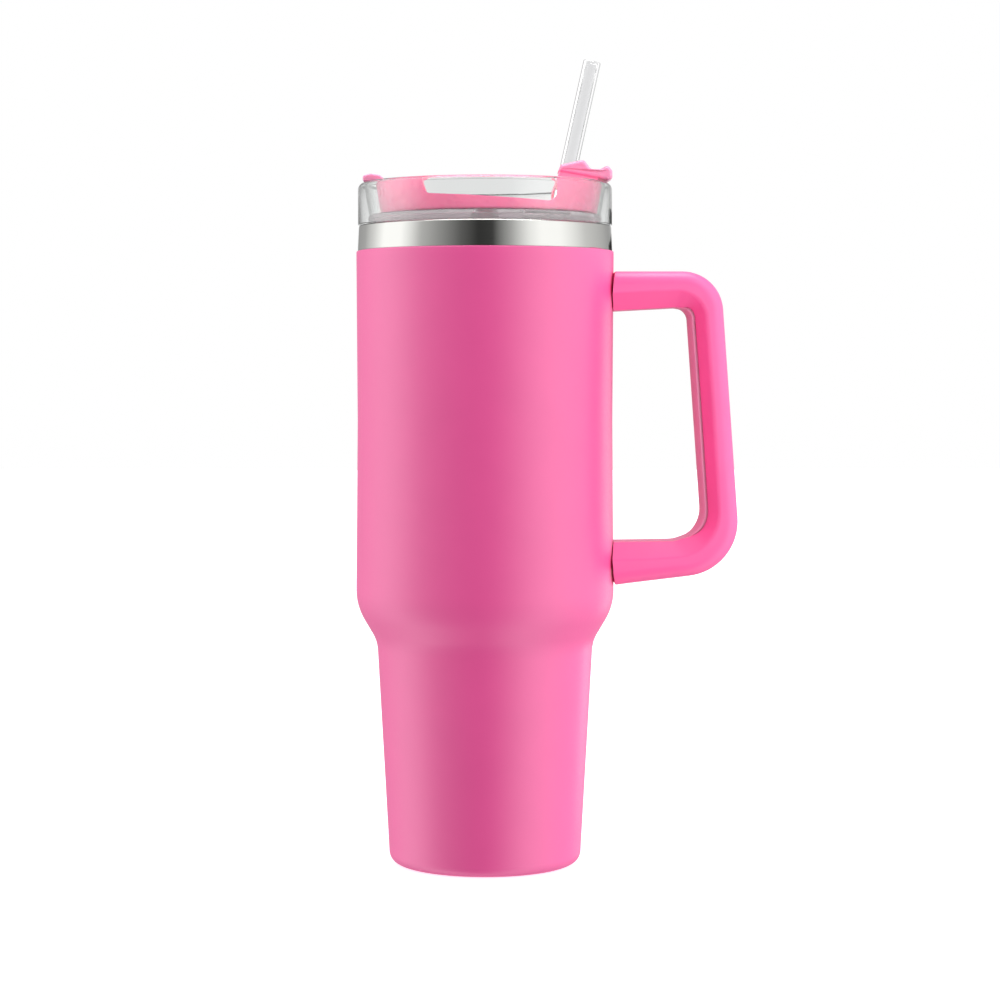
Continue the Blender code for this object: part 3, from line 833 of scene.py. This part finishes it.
def make_lid(wall_look, base_look):
    """Clear push-in lid: a folded double wall, and a floor with the skirt for the mouth."""
    floor_bottom = LID_FLOOR_TOP - LID_FLOOR
    wall_in = LID_R - LID_WALL
    skirt_in = SKIRT_R - SKIRT_WALL
    ceiling = LID_TOP - LID_RIM
    fold = [(LID_R, LID_BOTTOM, 0.3), (LID_R, LID_TOP, 2.6), (RECESS_TOP_R, LID_TOP, 0.4)]
    foot = LID_FLOOR_TOP + TOUCH
    fold += [(RECESS_BOTTOM_R, foot, 0), (RECESS_BOTTOM_R + RECESS_WALL, foot, 0)]
    fold += [(RECESS_TOP_R + RECESS_WALL, ceiling, 0.2), (wall_in, ceiling, 0.2)]
    fold.append((wall_in, LID_BOTTOM, 0.3))
    wall = lathe("clear_lid", rounded_loop(fold, 8), wall_look)

    base = [(HUB_HOLE_R, LID_FLOOR_TOP, 0), (HUB_HOLE_R, floor_bottom, 0)]
    base += [(skirt_in, floor_bottom, 0.4), (skirt_in, SKIRT_BOTTOM, 0.4)]
    base += [(SKIRT_R, SKIRT_BOTTOM, 0.4), (SKIRT_R, GROOVE[0], 0.1), (GROOVE_R, GROOVE[0], 0)]
    base += [(GROOVE_R, GROOVE[1], 0), (SKIRT_R, GROOVE[1], 0.1)]
    base.append((SKIRT_R + 0.2, LID_FLOOR_TOP, 0.5))
    floor = lathe("lid_base", rounded_loop(base, 6), base_look)
    combine(floor, slot_cutter("lid_slot", floor_bottom - 2, LID_FLOOR_TOP + 2), "DIFFERENCE")
    for piece in (wall, floor):
        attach(piece, "lid")
        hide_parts("lid_body")
    return floor


def make_gasket(look):
    """The silicone ring with its two lips, in the groove of the lid's skirt."""
    low, high = GROOVE
    inner = GROOVE_R + GAP
    body_r = SKIRT_R + 0.4
    lip_r = MOUTH_R - GAP
    outline = [(inner, low + GAP, 0), (body_r, low + GAP, 0.1), (lip_r, low + 0.9, 0.15)]
    outline += [(body_r, low + 1.6, 0.2), (body_r, high - 1.9, 0.2), (lip_r, high - 1.2, 0.15)]
    outline += [(body_r, high - GAP, 0.1), (inner, high - GAP, 0)]
    ring = lathe("mouth_seal", rounded_loop(outline, TINY_STEPS), look)
    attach(ring, "seal_ring")
    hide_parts("lid_gasket")
    return ring


def inset(corners, distance):
    """The corners of a closed outline, moved inwards by a distance."""
    points = [Vector(corner) for corner in corners]
    following = points[1:] + points[:1]
    area = sum(here.x * after.y - here.y * after.x for here, after in zip(points, following))
    side = math.copysign(1, area)
    moved = []
    for before, here, after in zip(points[-1:] + points[:-1], points, following):
        first, second = (here - before).normalized(), (after - here).normalized()
        inward = Vector((-first.y, first.x)) * side
        both = inward + Vector((-second.y, second.x)) * side
        moved.append(here + both * (distance / inward.dot(both)))
    return moved


def make_tab(name, corners, half, dome, look):
    """A moulded tab, seen from the side as (x, z, fillet) corners, with domed sides."""
    fillets = [corner[2] for corner in corners]
    flat = [corner[:2] for corner in corners]
    near_side = []
    for step in range(DOME_STEPS + 1):
        turn = math.pi / 2 * step / DOME_STEPS
        y = half - DOME_DEPTH * dome * (1 - math.cos(turn))
        moved = inset(flat, dome * (1 - math.sin(turn)))
        outline = rounded_loop([(*point, fillet) for point, fillet in zip(moved, fillets)], 6)
        near_side.append((y, outline))
    sections = [[(x, -y, z) for x, z in outline] for y, outline in near_side]
    sections += [[(x, y, z) for x, z in outline] for y, outline in reversed(near_side)]
    return stack(name, sections, look)


def flatten_sides(piece):
    """Shade a tab's two flat sides flat, so that the rounded edges don't shade them too."""
    for face in piece.data.polygons:
        face.use_smooth = abs(face.normal.y) < 0.999


def cut_bores(piece, look):
    """Cut the straw's hole, the grommet's seat and the slanted drinking hole."""
    spout = Matrix.Rotation(math.radians(DRINK_LEAN), 4, "Y")
    bores = {
        "straw_bore": (*STRAW_BORE, along_straw(STRAW_BORE_LEVEL)),
        "grommet_seat": (*SEAT_BORE, along_straw(SEAT_LEVEL)),
        "drink_bore": (*DRINK_BORE, upright(DRINK_X, 0, DISH_BOTTOM) @ spout),
    }
    for name, (radius, low, high, place) in bores.items():
        bore = lathe(name, disc_outline(radius, low, high), look, SMALL_STEPS, turned(place))
        combine(piece, bore, "DIFFERENCE")


def make_dish(look):
    """The pink dish with its decks, its low channel and the stem it turns on."""
    dish = [(0, DISH_BOTTOM, 0), (DISH_BOTTOM_R, DISH_BOTTOM, 1.0), (DISH_TOP_R, DISH_TOP, 0.5)]
    dish += [(DISH_TOP_R - DISH_WALL, DISH_TOP, 0.5)]
    dish += [(DISH_BOTTOM_R - DISH_WALL, DISH_FLOOR_TOP, 0.8), (0, DISH_FLOOR_TOP, 0)]
    centre = upright(DISH_SHIFT, 0, 0)
    cover = lathe("turning_cover", rounded(dish, 5), look, place=centre)
    combine(cover, lathe("end_decks", disc_outline(DECK_R, *DECK), look, place=centre), "UNION")
    stem = [(0, STEM_BOTTOM), (STEM_R - 0.4, STEM_BOTTOM), (BARB_R, STEM_BOTTOM + 0.4)]
    stem += [(BARB_R, STEM_BOTTOM + 0.8), (STEM_R, STEM_BOTTOM + 0.8), (STEM_R, DISH_BOTTOM + 1)]
    stem.append((0, DISH_BOTTOM + 1))
    combine(cover, lathe("cover_stem", stem, look, SMALL_STEPS), "UNION")
    ceiling = DISH_BOTTOM + PAD_DEPTH + GAP
    pocket = tube_outline(PAD_R[0] - GAP, PAD_R[1] + GAP, DISH_BOTTOM - 1, ceiling)
    combine(cover, lathe("seal_pocket", pocket, look), "DIFFERENCE")
    notch = [(NOTCH[0] - 2.0, CUT_TOP, 0), (NOTCH[0], NOTCH_BOTTOM[0], NOTCH_FILLET)]
    notch += [(NOTCH[1], NOTCH_BOTTOM[1], NOTCH_FILLET), (NOTCH[1], CUT_TOP, 0)]
    cutter = prism("cover_notch", rounded_loop(notch), -CUT_HALF_WIDTH, CUT_HALF_WIDTH, look)
    combine(cover, cutter, "DIFFERENCE")
    cut_bores(cover, look)
    soften(cover, EDGE_ROUND)
    return cover


def make_tabs(look):
    """The straw's collar with its lever, and the tab beside the drinking hole."""
    lever = make_tab("straw_collar", STRAW_TAB, TAB_HALF_WIDTH, LEVER_DOME, look)
    collar = make_tab("collar_base", STRAW_COLLAR, COLLAR_HALF_WIDTH, COLLAR_DOME, look)
    combine(lever, collar, "UNION")
    tabs = [lever, make_tab("drink_tab", DRINK_TAB, TAB_HALF_WIDTH, DRINK_TAB_DOME, look)]
    for tab in tabs:
        cut_bores(tab, look)
        flatten_sides(tab)
    return tabs


def make_cover(look, lit_tab_look):
    """Everything that turns with the cover: the dish and its two tabs."""
    cover = make_dish(look)
    tabs = make_tabs(lit_tab_look)
    for piece in (cover, *tabs):
        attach(piece, "cover")
        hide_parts("rotating_cover")
    return cover, tabs


def make_straw(look):
    """A drawn tube with fire-polished ends."""
    edge = 0.3
    outline = [(STRAW_BORE_R, -STRAW_LENGTH, edge), (STRAW_R, -STRAW_LENGTH, edge)]
    outline += [(STRAW_R, 0, edge), (STRAW_BORE_R, 0, edge)]
    straw = lathe("clear_straw", rounded_loop(outline, TINY_STEPS), look, SMALL_STEPS,
                  along_straw(STRAW_TOP[2]))
    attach(straw, "straw")
    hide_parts("straw")


# ---------------------------------------------------------------- studio


def math_node(tree, operation, first, second):
    """A math node on a socket and a second socket or number; returns its result."""
    made = tree.nodes.new("ShaderNodeMath")
    made.operation = operation
    tree.links.new(first, made.inputs[0])
    if isinstance(second, float):
        made.inputs[1].default_value = second
    else:
        tree.links.new(second, made.inputs[1])
    return made.outputs["Value"]


def studio_ramp(tree, turn):
    """The studio's brightness by the angle around the object, in radians."""
    share = tree.nodes.new("ShaderNodeMapRange")
    share.inputs["From Min"].default_value = -math.pi
    share.inputs["From Max"].default_value = math.pi
    tree.links.new(turn, share.inputs["Value"])
    ramp = tree.nodes.new("ShaderNodeValToRGB")
    stops = ramp.color_ramp.elements
    while len(stops) > 1:
        stops.remove(stops[-1])
    for index, (angle, brightness) in enumerate(STUDIO):
        position = (angle + 180) / 360
        stop = stops[0] if index == 0 else stops.new(position)
        stop.position = position
        stop.color = (brightness, brightness, brightness, 1.0)
    tree.links.new(share.outputs["Result"], ramp.inputs["Fac"])
    return ramp.outputs["Color"]


def studio_strength(tree, height):
    """The studio's strength by a direction's height, dimmed below the horizon."""
    dim = tree.nodes.new("ShaderNodeMapRange")
    dim.inputs["From Min"].default_value = STUDIO_DIP
    dim.inputs["From Max"].default_value = 0.0
    dim.inputs["To Min"].default_value = STUDIO_GAIN * STUDIO_BELOW
    dim.inputs["To Max"].default_value = STUDIO_GAIN
    tree.links.new(height, dim.inputs["Value"])
    return dim.outputs["Result"]


def make_world():
    """Surroundings whose brightness changes around the object; the camera itself sees white."""
    world = bpy.data.worlds.new("studio")
    bpy.context.scene.world = world
    world.use_nodes = True
    tree = world.node_tree
    nodes = tree.nodes
    background = nodes["Background"]
    coordinates = nodes.new("ShaderNodeTexCoord")
    split = nodes.new("ShaderNodeSeparateXYZ")
    tree.links.new(coordinates.outputs["Generated"], split.inputs["Vector"])
    strength = studio_strength(tree, split.outputs["Z"])
    tree.links.new(strength, background.inputs["Strength"])
    towards_camera = math_node(tree, "MULTIPLY", split.outputs["Y"], -1.0)
    turn = math_node(tree, "ARCTAN2", split.outputs["X"], towards_camera)
    seen = nodes.new("ShaderNodeLightPath")
    through = math_node(tree, "MULTIPLY", towards_camera, seen.outputs["Is Transmission Ray"])
    glow = math_node(tree, "MULTIPLY", through, THROUGH_GLOW)
    level = math_node(tree, "MAXIMUM", studio_ramp(tree, turn), glow)
    tree.links.new(level, background.inputs["Color"])
    backdrop = nodes.new("ShaderNodeBackground")
    backdrop.inputs["Color"].default_value = (1.0, 1.0, 1.0, 1.0)
    choose = nodes.new("ShaderNodeMixShader")
    tree.links.new(seen.outputs["Is Camera Ray"], choose.inputs["Fac"])
    tree.links.new(background.outputs["Background"], choose.inputs[1])
    tree.links.new(backdrop.outputs["Background"], choose.inputs[2])
    tree.links.new(choose.outputs["Shader"], nodes["World Output"].inputs["Surface"])


def add_area(name, place, aim, size, watts, glossy):
    """A rectangular lamp that the camera doesn't see."""
    data = bpy.data.lights.new(name, "AREA")
    data.shape = "RECTANGLE"
    data.size, data.size_y = size
    data.energy = watts
    lamp = bpy.data.objects.new(name, data)
    lamp.location = place
    lamp.rotation_euler = (Vector(aim) - Vector(place)).to_track_quat("-Z", "Y").to_euler()
    lamp.visible_glossy = glossy
    lamp.visible_camera = False
    lamp.visible_transmission = glossy
    bpy.context.scene.collection.objects.link(lamp)
    return lamp


def light_only(lamp, pieces):
    """Let a lamp light these pieces alone, and let only them cast its shadows."""
    chosen = bpy.data.collections.new(lamp.name + "_pieces")
    for piece in pieces:
        chosen.objects.link(piece)
    lamp.light_linking.receiver_collection = chosen
    lamp.light_linking.blocker_collection = chosen


def make_lights(lit):
    """The studio's lamps; a lamp named in lit lights only the pieces given for it."""
    for name, place, aim, size, watts, glossy in LAMPS:
        lamp = add_area(name, place, aim, size, watts, glossy)
        if name in lit:
            light_only(lamp, lit[name])


def make_floor():
    """A pale floor that only the camera sees, so it puts no light or reflection on the object."""
    bm = bmesh.new()
    corners = [(-FLOOR_REACH, -FLOOR_REACH, 0), (FLOOR_REACH, -FLOOR_REACH, 0)]
    corners += [(FLOOR_REACH, FLOOR_REACH, 0), (-FLOOR_REACH, FLOOR_REACH, 0)]
    bm.faces.new([bm.verts.new(corner) for corner in corners])
    look = Look("pale_floor", (0.85, 0.85, 0.85), 0.7)
    look.set("Emission Color", (1.0, 1.0, 1.0, 1.0))
    look.set("Emission Strength", 0.7)
    look.bump(look.noise(30, 3), 0.02)
    floor = add_object("studio_floor", bm, look.material)
    floor.location.z = -FLOOR_GAP
    floor.visible_diffuse = False
    floor.visible_glossy = False
    floor.visible_transmission = False
    floor.visible_shadow = False


def make_flag():
    """A black card behind the cup on the handle's side, which only reflections see."""
    bm = bmesh.new()
    near, far = math.radians(FLAG[0]), math.radians(FLAG[1])
    foot = []
    for turn in (near, far):
        foot.append((FLAG_DISTANCE * math.sin(turn), -FLAG_DISTANCE * math.cos(turn)))
    corners = [(*place, FLAG_BOTTOM) for place in foot]
    corners += [(*place, FLAG_TOP) for place in reversed(foot)]
    bm.faces.new([bm.verts.new(corner) for corner in corners])
    look = Look("black_card", (0.01, 0.01, 0.01), 0.9)
    look.bump(look.noise(200, 3), 0.05)
    flag = add_object("studio_flag", bm, look.material)
    for ray in ("camera", "diffuse", "transmission", "shadow"):
        setattr(flag, f"visible_{ray}", False)


def make_camera():
    """A level camera in front of the object."""
    data = bpy.data.cameras.new("camera")
    data.lens = CAMERA_LENS
    data.sensor_width = 36.0
    data.shift_x, data.shift_y = CAMERA_SHIFT
    data.clip_start = 0.01
    camera = bpy.data.objects.new("camera", data)
    camera.location = (0.0, -CAMERA_DISTANCE, CAMERA_HEIGHT)
    camera.rotation_euler = (math.radians(90), 0, 0)
    bpy.context.scene.collection.objects.link(camera)
    bpy.context.scene.camera = camera
    bpy.context.scene.view_settings.view_transform = "Standard"


def dress_hidden_nodes():
    """CAD pieces that keep their shape get a finished material."""
    steel = brushed_steel("plate_steel")
    rubber = silicone()
    looks = {
        "vacuum_base_plate": steel,
        "vacuum_seal_bead": solder_glass(),
        "getter_capsule": wrap_foil(),
        "heat_shield_foil": wrap_foil(),
        "upper_handle_screw": screw_steel(),
        "lower_handle_screw": screw_steel(),
        "cover_seal": rubber,
        "hub_washer": rubber,
        "straw_grommet": rubber,
        "cover_retainer": cover_plastic(),
    }
    for name, look in looks.items():
        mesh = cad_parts[name].data
        mesh.materials.clear()
        mesh.materials.append(look)


def main():
    make_camera()
    make_world()
    make_floor()
    make_flag()
    coat = powder_coat()
    shell = make_cup_coat(coat)
    liner = make_liner(polished_steel(), satin_steel())
    make_base_disc(brushed_steel())
    handle = make_handle(pink_plastic(), grip_plastic())
    for name, node, level, low, high in BRACKETS:
        make_bracket(name, node, level, low, high, coat)
    lid_base = make_lid(clear_plastic(), clouded_plastic())
    gasket = make_gasket(silicone())
    # the tabs get the paler copy of the cover's pink, with painted light in it
    cover, tabs = make_cover(cover_plastic(), cover_plastic("lit_tab_plastic", LIT_TAB))
    make_straw(straw_plastic())
    make_lights({
        "edge_fill": [shell],
        "handle_fill": handle,
        "cover_fill": [cover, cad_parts["cover_retainer"]],
        "tab_fill": tabs,
        "base_fill": [lid_base],
        "mouth_fill": [liner, gasket],
    })
    dress_hidden_nodes()


main()
